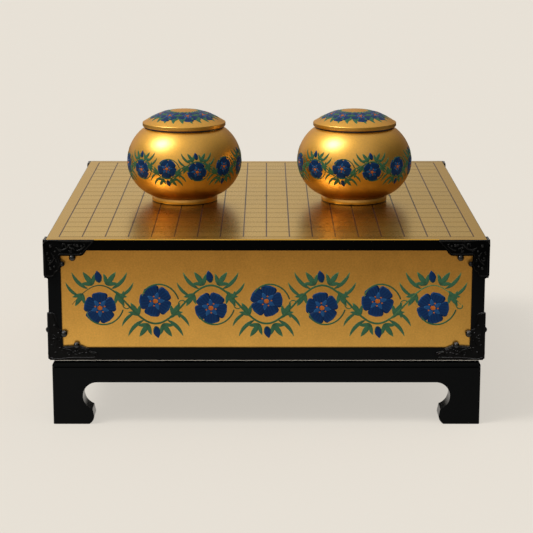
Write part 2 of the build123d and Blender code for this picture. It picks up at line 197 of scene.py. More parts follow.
# %% A finish
class Finish(Graph):
    """One material: its nodes, and the Principled shader they feed."""

    def __init__(self, name, **shader):
        self.material = bpy.data.materials.new(name)
        self.material.use_nodes = True
        super().__init__(self.material.node_tree)
        self.shader = self.tree.nodes["Principled BSDF"]
        self.set(**shader)

    def set(self, **values):
        """Feed the shader's sockets, named with underscores for spaces."""
        for name, value in values.items():
            socket = self.shader.inputs[name.replace("_", " ")]
            if isinstance(value, Wire):
                self.tree.links.new(value.socket, socket)
            elif socket.type == "RGBA":
                socket.default_value = (*value, 1.0)
            else:
                socket.default_value = value

    def place(self):
        """The point on the object, in metres, and its three numbers."""
        point = self.add("ShaderNodeTexCoord", out="Object")
        return point, self.parts(point)

    def bump(self, height, strength, distance):
        """Small heights, turned into a tilt of the surface."""
        values = {"Height": height, "Strength": strength, "Distance": distance}
        return self.add("ShaderNodeBump", None, values)


def srgb(*colour):
    """A colour as a screen shows it, 0 to 255, turned into light by the screen's own curve."""
    shares = [c / 255 for c in colour]
    return tuple(((s + 0.055) / 1.055) ** 2.4 if s > 0.04045 else s / 12.92 for s in shares)


print("a mid gold in light values:", [round(c, 3) for c in srgb(207, 162, 78)])

# %% [markdown]
# ## From points to an object
# Every piece made here is a list of points and a list of faces. One function turns them
# into a mesh with its materials and a smooth shading, and another puts any new thing in
# the scene.

# %% New objects
def add_object(name, data):
    """Put a mesh, a lamp or a camera in the scene."""
    thing = bpy.data.objects.new(name, data)
    bpy.context.scene.collection.objects.link(thing)
    return thing


def mesh_piece(name, points, faces, finishes):
    """A piece from points in metres and faces that number them."""
    mesh = bpy.data.meshes.new(name)
    mesh.from_pydata(points, [], faces)
    mesh.polygons.foreach_set("use_smooth", [True] * len(faces))
    for finish in finishes:
        mesh.materials.append(finish.material)
    print(name, "has", len(faces), "faces")
    return add_object(name, mesh)


print("new objects go into", bpy.context.scene.collection.name)

# %% [markdown]
# ## Gold
# Real gold lacquer is fine gold powder or leaf under clear lacquer, rubbed smooth. It
# mirrors its surroundings like a metal, with a colour that stays warm even at a low angle,
# which is what the Specular Tint of a metallic Principled shader is for. The powder never
# lies quite evenly: cloudy noise shifts its tone and roughness a little, and a much finer
# noise gives it grain.

# %% Gold under lacquer
GOLD_EDGE = (0.83, 0.82, 0.72)
CLOUDS, PATCHES = 16.0, 90.0  # blotches to the metre
BLACK, WHITE = (0.0007, 0.0007, 0.0008), (1.0, 1.0, 1.0)


def gold_finish(name, tone, rough, grain, powder_scale=1100.0, spread=0.22):
    """A gold of the given tone and roughness; grain is the height of its powder."""
    gold = Finish(name, Metallic=1.0, Specular_Tint=GOLD_EDGE, Specular_IOR_Level=0.04)
    point, (x, y, z) = gold.place()
    clouds = gold.noise(point, CLOUDS, 4.0)
    powder = gold.noise(point, powder_scale, 3.0)
    patches = gold.noise(point, PATCHES, 4.0)
    darker = tuple(c * (1 - spread) for c in tone)
    lighter = tuple(min(1.0, c * (1 + spread)) for c in tone)
    colour = gold.mix(clouds * 0.3 + powder * 0.5 + patches * 0.2, darker, lighter)
    gold.set(Roughness=clouds * 0.06 + powder * 0.10 + (rough - 0.08))
    gold.set(Normal=gold.bump(powder, 0.5, grain))
    return gold, colour, (x, y, z)


print("gold seen at a low angle:", GOLD_EDGE)

# %% [markdown]
# ## The board's top
# The board is played on, so its gold is rubbed flat and shines like a mirror. Its lines
# are cut and filled with brown lacquer. They are real grooves in the solid, so the shader
# only has to colour what lies a little below the top. Below the softened edge the slab is
# black, which the height of the point also tells.

# %% Board material
INK_FROM, INK_TO, BLACK_FROM = 0.12, 0.5, 0.75  # millimetres below the top
MARGIN, RIM = 11.4, 6.0  # millimetres in from the board's edge
TOP_GOLD, MARGIN_GOLD = (0.66, 0.41, 0.095), (0.62, 0.36, 0.062)


def inside_of(half_x, half_y, x, y):
    """1 inside a rectangle about the middle, measured in millimetres."""
    near_x = (half_x * MM - x.math("ABSOLUTE")).above(0.0, 0.0002)
    return near_x * (half_y * MM - y.math("ABSOLUTE")).above(0.0, 0.0002)


half_x, half_y = board_high.x / MM, board_high.y / MM
board, gold_top, (x, y, z) = gold_finish("board_gold", TOP_GOLD, 0.28, 0.000004)
margin = 1 - inside_of(half_x - MARGIN, half_y - MARGIN, x, y)
gold_top = board.mix(margin, gold_top, MARGIN_GOLD)
depth = top_z - z
line = (depth - INK_FROM * MM).above(0.0, 0.00004) * (INK_TO * MM - depth).above(0.0, 0.00004)
line = line * inside_of(half_x - RIM, half_y - RIM, x, y)
end_face = x.math("ABSOLUTE").above((half_x - 0.8) * MM, 0.0003)
side = (depth - BLACK_FROM * MM).above(0.0, 0.0001).math("MAXIMUM", end_face)
inked = board.mix(line, gold_top, srgb(62, 38, 32))
board.set(Base_Color=board.mix(side, inked, BLACK))
board.set(Metallic=1.0 - line.math("MAXIMUM", side))
nodes["playing_board"].data.materials[0] = board.material
print("grid filled below", round(top_z / MM - INK_FROM, 2), "mm")

# %% [markdown]
# ## Panels and drawer fronts
# The panels and drawer fronts have a satin gold: rougher, so that it spreads the light
# softly. Towards the foot its colour is painted brighter, a painted reflection of the pale
# floor in front, which fades the tone upwards. Only the face of a drawer front is gilded,
# and the wood behind it stays bare.

# %% Panel materials
PANEL_GOLD = (0.68, 0.323, 0.058)
# Painted reflection: the satin gold is painted brighter towards the foot, for the pale floor it
# mirrors.
FOOT_PAINTED_REFLECTION = (1.09, 1.27, 1.50)  # what that colour is multiplied by at the foot
panel_low, panel_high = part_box("front_panel")


def panel_finish(name):
    """Satin gold, with its tone and the place from left to right."""
    gold, tone, (x, y, z) = gold_finish(name, PANEL_GOLD, 0.31, 0.00003, 620.0, 0.42)
    # Painted reflection: the colour is brightened from the panel's top down to its foot.
    fade = (panel_high.z - z) / (panel_high.z - panel_low.z)
    tone = gold.times(tone, gold.mix(fade, WHITE, FOOT_PAINTED_REFLECTION))
    gold.set(Base_Color=tone)
    return gold, tone, x


panel, _, _ = panel_finish("panel_gold")
for name in ("front_panel", "back_panel", "left_panel", "right_panel"):
    nodes[name].data.materials[0] = panel.material
drawer_front, tone, x = panel_finish("drawer_front_gold")
face = x.math("ABSOLUTE").above(drawer_x - 1.0 * MM, 0.0001)
bare = srgb(190, 156, 110)
drawer_front.set(Base_Color=drawer_front.mix(face, bare, tone), Metallic=face)
for side in ("left", "right"):
    nodes[side + "_drawer_front"].data.materials[0] = drawer_front.material
print("satin gold fades over", round((panel_high.z - panel_low.z) / MM, 1), "mm")

# %% [markdown]
# ## Bowls and lids
# The bowls are turned and polished, a deeper amber gold under a thick clear coat, which
# puts a pale gleam over the gold's own. Below the belly the gold's colour is darkened
# towards the foot as painted shade, all but the foot ring.
# The lip is black, and so is the inside, which the shader tells from the outside by the
# distance from the bowl's axis: the wall's middle follows the same two arcs as its outside.
# A second material on the inner faces would mean changing the solid's mesh.

# %% Bowl and lid materials
BOWL_GOLD, BOWL_EDGE = (0.69, 0.352, 0.014), (0.60, 0.40, 0.07)
bowl_low, bowl_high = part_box("left_bowl")
BELLY_R = round((bowl_high.x - bowl_low.x) / 2 / MM, 3)
BELLY_Z = 43.0  # height of that widest radius over the bowl's sole
UPPER_ARC, LOWER_ARC, WALL = 42.5, 38.9, 5.0  # the outside's two radii, and the wall
FOOT_LINE, FLOOR_Z, FOOT_RING, NECK_Z = 0.9, 6.0, 6.5, 78.1  # heights over the bowl's sole
# Painted shade: below the belly the gold's colour is darkened towards the foot, at this rate and
# down to this colour.
PAINTED_SHADE_RATE = 27.0  # how fast the gold deepens below the belly, as a share per metre
FOOT_PAINTED_SHADE = (0.58, 0.46, 0.38)  # what the gold's colour is multiplied by at the foot


def bowl_gold(name):
    """Polished gold under its clear coat."""
    gold, tone, place = gold_finish(name, BOWL_GOLD, 0.42, 0.000004, 700.0, 0.34)
    gold.set(Specular_Tint=BOWL_EDGE, Coat_Weight=0.42, Coat_IOR=2.5, Coat_Roughness=0.3)
    return gold, tone, place


def bowl_finish(side):
    """Gold outside, with painted shade below the belly; black lip, inside and foot line."""
    low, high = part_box(side + "_bowl")
    centre = (low + high) / 2
    gold, tone, (x, y, z) = bowl_gold(side + "_bowl_gold")
    across = ((x - centre.x) ** 2.0 + (y - centre.y) ** 2.0) ** 0.5
    height = z - low.z
    # Painted shade, growing from the belly down to the foot ring, which keeps its full tone.
    below = (BELLY_Z * MM - height) * PAINTED_SHADE_RATE
    below = below.math("MAXIMUM", 0.0).math("MINIMUM", 1.0)
    below = below * (height - FOOT_RING * MM).above(0.0, 0.001)
    tone = gold.times(tone, gold.mix(below, WHITE, FOOT_PAINTED_SHADE))
    rise = (height - BELLY_Z * MM) ** 2.0
    walls = []
    for arc in (UPPER_ARC, LOWER_ARC):
        middle = (arc - WALL / 2) * MM
        walls.append((BELLY_R - arc) * MM + (middle**2 - rise).math("MAXIMUM", 0.0) ** 0.5)
    upper = height.above(BELLY_Z * MM, 0.0001)
    wall = walls[0] * upper + walls[1] * (1 - upper)
    inside = (wall - across).above(0.0, 0.0002) * (height - FLOOR_Z * MM).above(0.0, 0.0005)
    lip = (height - (NECK_Z - 0.05) * MM).above(0.0, 0.0001)
    foot = (FOOT_LINE * MM - height).above(0.0, 0.0001)
    black = lip.math("MAXIMUM", foot).math("MAXIMUM", inside)
    gold.set(Base_Color=gold.mix(black, tone, BLACK), Metallic=1.0 - black)
    return gold


lid_gold, tone, _ = bowl_gold("lid_gold")
lid_gold.set(Base_Color=tone)
for side in ("left", "right"):
    nodes[side + "_bowl"].data.materials[0] = bowl_finish(side).material
    nodes[side + "_bowl_lid"].data.materials[0] = lid_gold.material
print("bowls", 2 * BELLY_R, "mm across and", NECK_Z, "mm to the neck")

# %% [markdown]
# ## Black lacquer
# The frame, the stand and the legs are black lacquer: many thin coats, polished, so it is a
# black dielectric with a weak but sharp reflection. A very shallow, wide ripple keeps the
# reflections alive, and handling dulls the shine in patches.

# %% Black lacquer material
lacquer = Finish("black_lacquer", Specular_IOR_Level=0.06)
point, _ = lacquer.place()
dulled = lacquer.noise(point, 9.0, 4.0)
speck = lacquer.noise(point, 900.0, 1.0)
lacquer.set(Roughness=dulled * 0.18 + speck * 0.04 + 0.10)
lacquer.set(Base_Color=lacquer.mix(dulled, (0.0006, 0.0009, 0.0012), (0.0026, 0.0032, 0.0037)))
lacquer.set(Normal=lacquer.bump(lacquer.noise(point, 45.0, 2.0), 0.4, 0.00003))


def dress(slot, finish):
    """Give a finish to all the solids that have the record's slot of that name."""
    chosen = [name for name, node in nodes.items() if node.data.materials[0].name.startswith(slot)]
    for name in chosen:
        nodes[name].data.materials[0] = finish.material
    print(slot, "on", len(chosen), "solids")


dress("black_lacquer", lacquer)

# %% [markdown]
# ## Blackened metal
# The corner fittings, their nails and the knobs are cast, blackened and then handled. Noise
# at two sizes gives the cast skin and the patches that cloth has rubbed. The balls and
# highest crests, told by how far they stand proud of the posts, have the clear gloss of
# metal that is rubbed often. The lower fittings, where the board is gripped, have a little
# of it too. All that faces up is painted grey as a highlight, partly standing for wear:
# faintly on the upper fittings and more strongly on the lower ones.

# %% Blackened metal material
CRESTS_OUT, LOWER_FITTINGS_TOP = 3.9, 130.0  # millimetres out from the posts, and above the floor
metal = Finish("blackened_metal", Specular_IOR_Level=0.06, Coat_Roughness=0.04)
point, (x, y, z) = metal.place()
proud = (x.math("ABSOLUTE") - post_x * MM).math("MAXIMUM", y.math("ABSOLUTE") - post_y * MM)
lower_fittings = 1 - z.above(LOWER_FITTINGS_TOP * MM, 0.02)
metal.set(Coat_Weight=proud.above(CRESTS_OUT * MM, 1.4 * MM) * 0.8 + lower_fittings * 0.05)
broad, skin = metal.noise(point, 120.0, 3.0), metal.noise(point, 1300.0, 2.0)
rubbed = broad.above(0.60, 0.25)
# Faces that look up: a painted highlight, partly standing for wear.
wear_and_painted_highlight = metal.parts(metal.add("ShaderNodeTexCoord", out="Normal"))[2].above(0.75, 0.4)
black = metal.mix(rubbed, (0.0004, 0.0005, 0.0006), (0.0022, 0.0023, 0.0025))
# Painted highlight: upward faces are mixed towards grey, more on the lower fittings.
metal.set(Base_Color=metal.mix(wear_and_painted_highlight * (lower_fittings * 0.55 + 0.1), black, (0.17, 0.17, 0.175)))
metal.set(Roughness=skin * 0.12 + rubbed * -0.06 + 0.12)
metal.set(Normal=metal.bump(skin, 0.15, 0.00002))
dress("black_metal", metal)

# %% [markdown]
# ## Bare wood inside
# Drawer sides, floors and runners are left unlacquered, as such boxes are. Growth rings
# cut lengthwise show as long fine streaks, so a sine wave runs fast across the wood and
# slowly along it, bent by noise, with the streaks of long pores over it.

# %% Bare wood material
wood = Finish("bare_wood", Specular_IOR_Level=0.3)
point, (x, y, z) = wood.place()
bend = wood.noise(point, 6.0, 3.0)
rings = (y * 1100.0 + z * 1400.0 + x * 30.0 + bend * 26.0).math("SINE") * 0.5 + 0.5
pores = wood.noise(point, 90.0, 3.0, (1.0, 16.0, 16.0))
grain = rings * 0.35 + pores * 0.65
wood.set(Base_Color=wood.mix(grain, srgb(214, 184, 140), srgb(168, 128, 84)))
wood.set(Roughness=pores * 0.2 + 0.5, Normal=wood.bump(grain, 0.35, 0.00006))
dress("plain_wood", wood)

# %% [markdown]
# ## Relief on a surface
# Painted lacquer stands a fraction of a millimetre proud of the gold. To model it, each
# petal or leaf is drawn flat, in millimetres to the right and up, with a height. A `place`
# function then lays that flat drawing on a panel, a bowl or a lid. `Relief` collects many
# such forms in one mesh, each closed underneath, and remembers for the shader how far along
# and across its form every point lies.

# %% The relief mesh
SINK = 0.06  # how far a patch's rim lies below the surface, so that no gap shows


class Relief:
    """Raised forms in one mesh, laid on a surface by place(u, v, height)."""

    def __init__(self, name, place, finishes):
        self.name, self.place, self.finishes = name, place, finishes
        self.points, self.faces, self.paints, self.along, self.across = [], [], [], [], []

    def lay(self, rows, paint, closed):
        """Join rows of (u, v, height, along, across) points. Closed rows make a strand.

        Where place mirrors the drawing, the faces are turned round to look outwards.
        """
        u, v = rows[0][0][:2]
        steps = ((0, 0, 0), (0.1, 0, 0), (0, 0.1, 0), (0, 0, 0.1))
        origin, *ways = [Vector(self.place(u + du, v + dv, dh)) for du, dv, dh in steps]
        u_way, v_way, h_way = [way - origin for way in ways]
        flip = u_way.cross(v_way).dot(h_way) < 0
        start, wide, long = len(self.points), len(rows[0]), len(rows)
        for row in rows:
            for u, v, height, along, across in row:
                self.points.append([c * MM for c in self.place(u, v, height)])
                self.along.append(along)
                self.across.append(across)

        def corner(i, j):
            return start + i * wide + j % wide

        made = [
            (corner(i, j), corner(i + 1, j), corner(i + 1, j + 1), corner(i, j + 1))
            for i in range(long - 1)
            for j in range(wide if closed else wide - 1)
        ]
        if closed:
            made.append(tuple(corner(0, j) for j in range(wide)))
            made.append(tuple(corner(long - 1, j) for j in reversed(range(wide))))
        else:
            edge = [corner(0, j) for j in range(wide)]
            edge += [corner(i, wide - 1) for i in range(1, long)]
            edge += [corner(long - 1, j) for j in reversed(range(wide - 1))]
            edge += [corner(i, 0) for i in reversed(range(1, long - 1))]
            made.append(tuple(edge))
        self.faces += [tuple(reversed(face)) if flip else face for face in made]
        self.paints += [paint] * len(made)

    def finish(self, body, slot):
        """Make the mesh and let it ride on a body."""
        piece = mesh_piece(self.name, self.points, self.faces, self.finishes)
        mesh = piece.data
        mesh.polygons.foreach_set("material_index", self.paints)
        for name, values in (("along", self.along), ("across", self.across)):
            mesh.attributes.new(name, "FLOAT", "POINT").data.foreach_set("value", values)
        mesh.update()
        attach(piece, body)


print("heights are sunk by", SINK, "mm")

# %% [markdown]
# ## Patches and strands
# A petal or leaf is laid in rows across it, each as wide as its outline there and raised to
# a low crown. A stem is a strand with a rounded section, thinner towards its ends. A flat
# shape with a modifier would do too, but rows give along and across without more work.

# %% Patches and strands
STRAND_RING = [
    (-1, -SINK), (-0.8, 0.6), (-0.35, 0.95), (0.35, 0.95),
    (0.8, 0.6), (1, -SINK), (0.5, -0.25), (-0.5, -0.25),
]  # a strand's section: shares of its half width and of its height, or millimetres below 0


def patch(relief, start, heading, length, width, rise, paint, shape, bend=0.0):
    """A petal or leaf from start, its half width shape(t) times width, bending as it goes."""
    rows, steps, sides = [], 10, 6
    u, v = start
    for i in range(steps + 1):
        t = i / steps
        angle = heading + bend * t
        half = max(0.02, width * shape(t))
        row = []
        for j in range(sides + 1):
            s = j / sides * 2 - 1
            out = s * half
            crown = rise * math.sqrt(max(0.0, 1 - s * s)) * min(1.0, half / width * 1.6)
            spot = (u - math.sin(angle) * out, v + math.cos(angle) * out)
            row.append((*spot, crown - SINK, t, s))
        rows.append(row)
        u += math.cos(angle) * length / steps
        v += math.sin(angle) * length / steps
    relief.lay(rows, paint, closed=False)


def strand(relief, line, width, rise, paint, taper=(0.4, 0.4)):
    """A rounded strand along a line of (u, v) points, thinner towards its ends."""
    rows, last = [], len(line) - 1
    for i, (u, v) in enumerate(line):
        (u0, v0), (u1, v1) = line[max(0, i - 1)], line[min(last, i + 1)]
        angle, t = math.atan2(v1 - v0, u1 - u0), i / last
        first, final = taper
        size = min(1.0, first + (1 - first) * t * 6, final + (1 - final) * (1 - t) * 6)
        row = []
        for s, h in STRAND_RING:
            out = s * width / 2 * size
            spot = (u - math.sin(angle) * out, v + math.cos(angle) * out)
            row.append((*spot, h * rise * size if h > 0 else h, t, s))
        rows.append(row)
    relief.lay(rows, paint, closed=True)


print(len(STRAND_RING), "points round a strand")

# %% [markdown]
# ## Paints of the scroll
# The scroll is a traditional one, a waving vine with five-petalled blossoms, in deep blue,
# leaf green and burnt orange. Each paint is shaded by hand on the real thing: darker at the
# root of a petal, paler at its rim, with veins. The stored along and across values are all
# the shader needs for that.

# %% Paint materials
def paint_finish(name, root, body, rim, vein):
    """A paint that goes from root to body to rim, with veins of the given strength."""
    paint = Finish(name, Specular_IOR_Level=0.12)
    point, _ = paint.place()
    along = paint.add("ShaderNodeAttribute", {"attribute_name": "along"}, out="Fac")
    across = paint.add("ShaderNodeAttribute", {"attribute_name": "across"}, out="Fac")
    clouds = paint.noise(point, 260.0, 3.0)
    ramp = {"stops": [(0.0, root), (0.34, body), (0.80, body), (1.0, rim)]}
    colour = paint.add("ShaderNodeValToRGB", ramp, {0: along + clouds * 0.24 - 0.12})
    edge = across.math("ABSOLUTE").above(0.93, 0.14) * 0.35
    lines = ((across * 9.0 + clouds * 1.5).math("SINE").math("ABSOLUTE") ** 8.0) * vein
    shaded = paint.mix((lines + edge + clouds * 0.08).math("MINIMUM", 1.0), colour, rim)
    paint.set(Base_Color=shaded, Roughness=clouds * 0.2 + 0.30)
    paint.set(Normal=paint.bump(lines + clouds * 0.4, 0.3, 0.00005))
    return paint


PAINTS = [
    paint_finish("petal_blue", srgb(0, 14, 36), srgb(0, 34, 76), srgb(12, 64, 112), 0.30),
    paint_finish("leaf_green", srgb(14, 48, 40), srgb(34, 80, 60), srgb(98, 134, 84), 0.40),
    paint_finish("heart_orange", srgb(104, 42, 10), srgb(164, 80, 22), srgb(214, 142, 56), 0.20),
    paint_finish("stem_green", srgb(28, 64, 46), srgb(42, 84, 56), srgb(92, 124, 76), 0.15),
    paint_finish("petal_pale_blue", srgb(0, 28, 66), srgb(10, 60, 110), srgb(56, 112, 156), 0.30),
]
BLUE, GREEN, ORANGE, STEM, PALE_BLUE = range(len(PAINTS))
print(len(PAINTS), "paints")

# %% [markdown]
# ## Blossoms, leaves and tendrils
# A petal is narrow at its root and round at its tip; a leaf is pointed at both ends. Both
# outlines are short formulas. Five broad petals, five small ones between them, and a domed
# heart with a ring of beads make a blossom. Leaves spring in fans of three.

# %% Petal, leaf and blossom
def petal_shape(t):
    """Half the width at the share t of the length, as a share of the widest."""
    return (t**0.55) * math.sqrt(max(0.0, 1 - t**5)) / 0.72


def leaf_shape(t):
    """The same for a leaf."""
    return math.sin(math.pi * min(1.0, t**0.85)) ** 0.9


def round_shape(t):
    """The same for a round bead."""
    return math.sqrt(max(0.0, 1 - (2 * t - 1) ** 2))


def bead(relief, centre, radius, rise, paint):
    """A small round dome."""
    u, v = centre
    patch(relief, (u - radius, v), 0.0, 2 * radius, radius, rise, paint, round_shape)


def blossom(relief, centre, radius, turn=0.0):
    """Five broad petals, five small pale ones, a domed heart and its beads.

    Sizes are shares of the blossom's radius, and heights are millimetres.
    """
    u, v = centre

    def off(angle, share):
        return (u + math.cos(angle) * radius * share, v + math.sin(angle) * radius * share)

    for k in range(5):
        angle, long, wide = turn + k * math.tau / 5, radius * 0.88, radius * 0.50
        patch(relief, off(angle, 0.12), angle, long, wide, 0.35, BLUE, petal_shape)
    for k in range(5):
        angle, long, wide = turn + (k + 0.5) * math.tau / 5, radius * 0.50, radius * 0.17
        patch(relief, off(angle, 0.08), angle, long, wide, 0.6, PALE_BLUE, leaf_shape)
        bead(relief, off(angle + math.pi / 5, 0.30), radius * 0.06, 0.5, ORANGE)
    bead(relief, centre, radius * 0.17, 0.8, ORANGE)


def fan(relief, root, heading, length, lean=0.6):
    """Three leaves from one point of a stem."""
    for turn, share in ((-lean, 0.74), (lean, 0.74), (0.0, 1.0)):
        way, long = heading + turn, length * share
        patch(relief, root, way, long, long * 0.17, 0.3, GREEN, leaf_shape, bend=turn * 0.9)


def blade(relief, root, heading, length, bend):
    """A long slender leaf."""
    patch(relief, root, heading, length, length * 0.085, 0.25, GREEN, leaf_shape, bend=bend)


def bud(relief, root, heading, size):
    """A closed bud between two small leaves."""
    patch(relief, root, heading, size, size * 0.30, 0.5, BLUE, leaf_shape)
    for turn in (-0.5, 0.5):
        way, long, wide = heading + turn, size * 0.7, size * 0.14
        patch(relief, root, way, long, wide, 0.3, GREEN, leaf_shape, bend=-turn)


def curl(centre, radius, start, sweep, inner=0.25, steps=26):
    """Points of a spiral that winds inwards round a centre."""
    u, v = centre
    line = []
    for i in range(steps + 1):
        t = i / steps
        r = radius * (1 - (1 - inner) * t)
        line.append((u + math.cos(start + sweep * t) * r, v + math.sin(start + sweep * t) * r))
    return line


widest = max(range(11), key=lambda i: petal_shape(i / 10)) / 10
print("a petal is widest at", widest, "of its length")

# %% [markdown]
# ## The waving scroll
# The vine is one long sine wave. In every bow of it sits a blossom, held by a branch that
# curls off the vine, and leaves spring from the outside of the bow. Drawing it from a
# formula keeps the rhythm even, and one function serves the panels, the drawers and the
# bowls with other sizes.

# %% Scroll function
VINE_STEP = 1.6  # millimetres between the points of a vine


def scroll(relief, start, end, middle, swing, bows, bloom, around=False):
    """A vine from start to end about the height middle, with a blossom in each bow.

    The vine swings that far up and down, and a blossom's radius is bloom. All else is
    given as shares of bloom or of a bow's length.
    """
    step = (end - start) / bows

    def vine(u):
        return middle + swing * math.sin(math.pi * (u - start) / step)

    count = int((end - start) / VINE_STEP)
    run = [start + (end - start) * i / count for i in range(count + 1)]
    ends = (1.0, 1.0) if around else (0.3, 0.3)
    strand(relief, [(u, vine(u)) for u in run], bloom * 0.13, 0.4, STEM, ends)
    for k in range(bows):
        side = 1 if k % 2 == 0 else -1
        up = side * math.pi / 2
        u = start + (k + 0.5) * step
        crest = middle + side * swing
        heart = (u, middle - side * swing * 0.1)
        branch = curl(heart, step * 0.42, side * -0.15, side * -2.6, 0.62)
        strand(relief, branch, bloom * 0.10, 0.35, STEM, (0.9, 0.4))
        for way in (-1, 1):
            fan(relief, (u + way * step * 0.12, crest), up - side * way * 0.62, bloom * 1.05)
            low = u + way * step * 0.30
            fan(relief, (low, vine(low)), side * way * 0.55 - up, bloom * 0.98, 0.5)
            for near, long in ((0.20, 1.55), (0.36, 1.3)):
                root = (u + way * step * near, vine(u + way * step * near))
                blade(relief, root, up - side * way * 1.15, bloom * long, way * side * 0.9)
        fan(relief, (u + step * 0.42, vine(u + step * 0.42)), side * 2.3, bloom * 0.8)
        blossom(relief, (u, middle - side * swing * 0.18), bloom, turn=0.35 * k + math.pi / 2)
        bud(relief, (u, crest + side * bloom * 0.15), up + 0.2, bloom * 0.8)
        between = (u + step * 0.5, middle - side * swing * 0.05)
        tendril = curl(between, bloom * 0.34, side * 2.2, side * 4.6, 0.2)
        strand(relief, tendril, bloom * 0.07, 0.3, STEM, (0.9, 0.5))


print("a vine has a point every", VINE_STEP, "mm")

# %% [markdown]
# ## Scrolls on the panels and drawers
# On a flat board, laying the drawing is only a choice of axes: to the right as one looks at
# the board, up, and out of it.

# %% Flat scrolls
front_y, drawer_face = panel_y / MM, drawer_x / MM
drawer_middle = sum(corner.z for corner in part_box("left_drawer_front")) / 2 / MM
# half the length, the middle's height, the swing, the bows and the blossoms' radius
on_front = (188.0, 121.0, 19.0, 7, 16.0)
on_drawer = (156.0, drawer_middle, 12.5, 8, 11.0)
scrolls = {
    "front_scroll": ("case", lambda u, v, h: (u, -front_y - h, v), on_front),
    "back_scroll": ("case", lambda u, v, h: (-u, front_y + h, v), on_front),
    "left_drawer_scroll": ("left_drawer", lambda u, v, h: (-drawer_face - h, -u, v), on_drawer),
    "right_drawer_scroll": ("right_drawer", lambda u, v, h: (drawer_face + h, u, v), on_drawer),
}
for name, (body, place, (reach, *drawing)) in scrolls.items():
    relief = Relief(name, place, PAINTS)
    scroll(relief, -reach, reach, *drawing)
    relief.finish(body, "gold_panel")

# %% [markdown]
# ## Scrolls on the bowls and lids
# Round a bowl, the distance to the right becomes an angle, and the distance up becomes a
# walk along the belly's two arcs. On a lid the drawing is simply let down on the dome.

# %% Round scrolls
LID_EDGE, LID_RIM = 42.8, 4.5  # radius where the lid's dome starts, and its height on the lip
WREATH_R, VINE_MIDDLE = 25.0, -1.5  # a wreath's radius, and the vine's height over the belly


def bowl_place(side):
    """Lay a drawing round a bowl, from its front."""
    low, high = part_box(side + "_bowl")
    cx, cy, z0 = (low.x + high.x) / 2 / MM, (low.y + high.y) / 2 / MM, low.z / MM

    def place(u, v, h):
        arc = UPPER_ARC if v > 0 else LOWER_ARC
        rise = v / arc
        r = BELLY_R - arc + (arc + h) * math.cos(rise)
        angle = u / BELLY_R - math.pi / 2
        z = z0 + BELLY_Z + (arc + h) * math.sin(rise)
        return (cx + r * math.cos(angle), cy + r * math.sin(angle), z)

    return place


def lid_place(side):
    """Let a drawing down on a lid's dome, which is a part of a ball."""
    low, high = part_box(side + "_bowl_lid")
    cx, cy, top = (low.x + high.x) / 2 / MM, (low.y + high.y) / 2 / MM, high.z / MM
    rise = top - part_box(side + "_bowl")[1].z / MM - LID_RIM
    ball = (LID_EDGE**2 + rise**2) / (2 * rise)

    def place(u, v, h):
        return (cx + u, cy + v, top - ball + math.sqrt(ball**2 - u * u - v * v) + h)

    return place


def wreath(relief, radius, count, bloom):
    """A ring of blossoms with fans of leaves inside and outside it."""

    def spot(turn):
        return (radius * math.cos(math.tau * turn), radius * math.sin(math.tau * turn))

    strand(relief, [spot(i / 90) for i in range(91)], 1.2, 0.35, STEM, (1.0, 1.0))
    for k in range(3 * count):
        turn = (k + 0.5) / (3 * count)
        fan(relief, spot(turn), math.tau * turn + 0.4, bloom * 1.35)
        fan(relief, spot(turn), math.tau * turn + math.pi - 0.4, bloom * 1.3)
    for k in range(count):
        turn = (k + 0.25) / count
        blossom(relief, spot(turn), bloom, math.tau * turn)


half_around = math.pi * BELLY_R
for side in ("left", "right"):
    relief = Relief(side + "_bowl_scroll", bowl_place(side), PAINTS)
    scroll(relief, -half_around, half_around, VINE_MIDDLE, 9.0, 12, 10.5, around=True)
    relief.finish(side + "_bowl", "gold_bowl")
    relief = Relief(side + "_lid_wreath", lid_place(side), PAINTS)
    wreath(relief, WREATH_R, 8, 11.0)
    relief.finish(side + "_bowl_lid", "gold_bowl")

# %% [markdown]
# ## A soft curve
# Ornament is drawn with few points. The Catmull-Rom formula runs a smooth curve through
# them: each stretch looks at its two ends and at one more point on either side.

# %% Smooth line
def smooth_line(corners, steps=5, closed=False):
    """A soft curve through the given corners."""
    count, line = len(corners), []
    for i in range(count if closed else count - 1):
        near = [i + k if not closed else (i + k) % count for k in (-1, 0, 1, 2)]
        a, b, c, d = (corners[min(count - 1, max(0, k))] for k in near)
        for k in range(steps):
            t = k / steps
            line.append(tuple(
                b[n] + (c[n] - a[n]) * t / 2
                + (a[n] - 2.5 * b[n] + 2 * c[n] - d[n] / 2) * t * t
                + (3 * b[n] - a[n] - 3 * c[n] + d[n]) * t**3 / 2
                for n in (0, 1)
            ))
    line.append(corners[0] if closed else corners[-1])
    return line


print(len(smooth_line([(0, 0), (1, 1), (2, 0)])), "points through three corners")

# %% [markdown]
# ## Ornament on the fittings
# Each cast fitting is an angle of two plates with a short leg, and carries a raised border
# and a scroll between its nails. One drawing serves both plates of all eight fittings,
# mirrored into place. It starts at the fitting's outer corner: the first number runs along
# the plate, the second up or down the post. The border keeps 1.6 mm from the plate's edge.

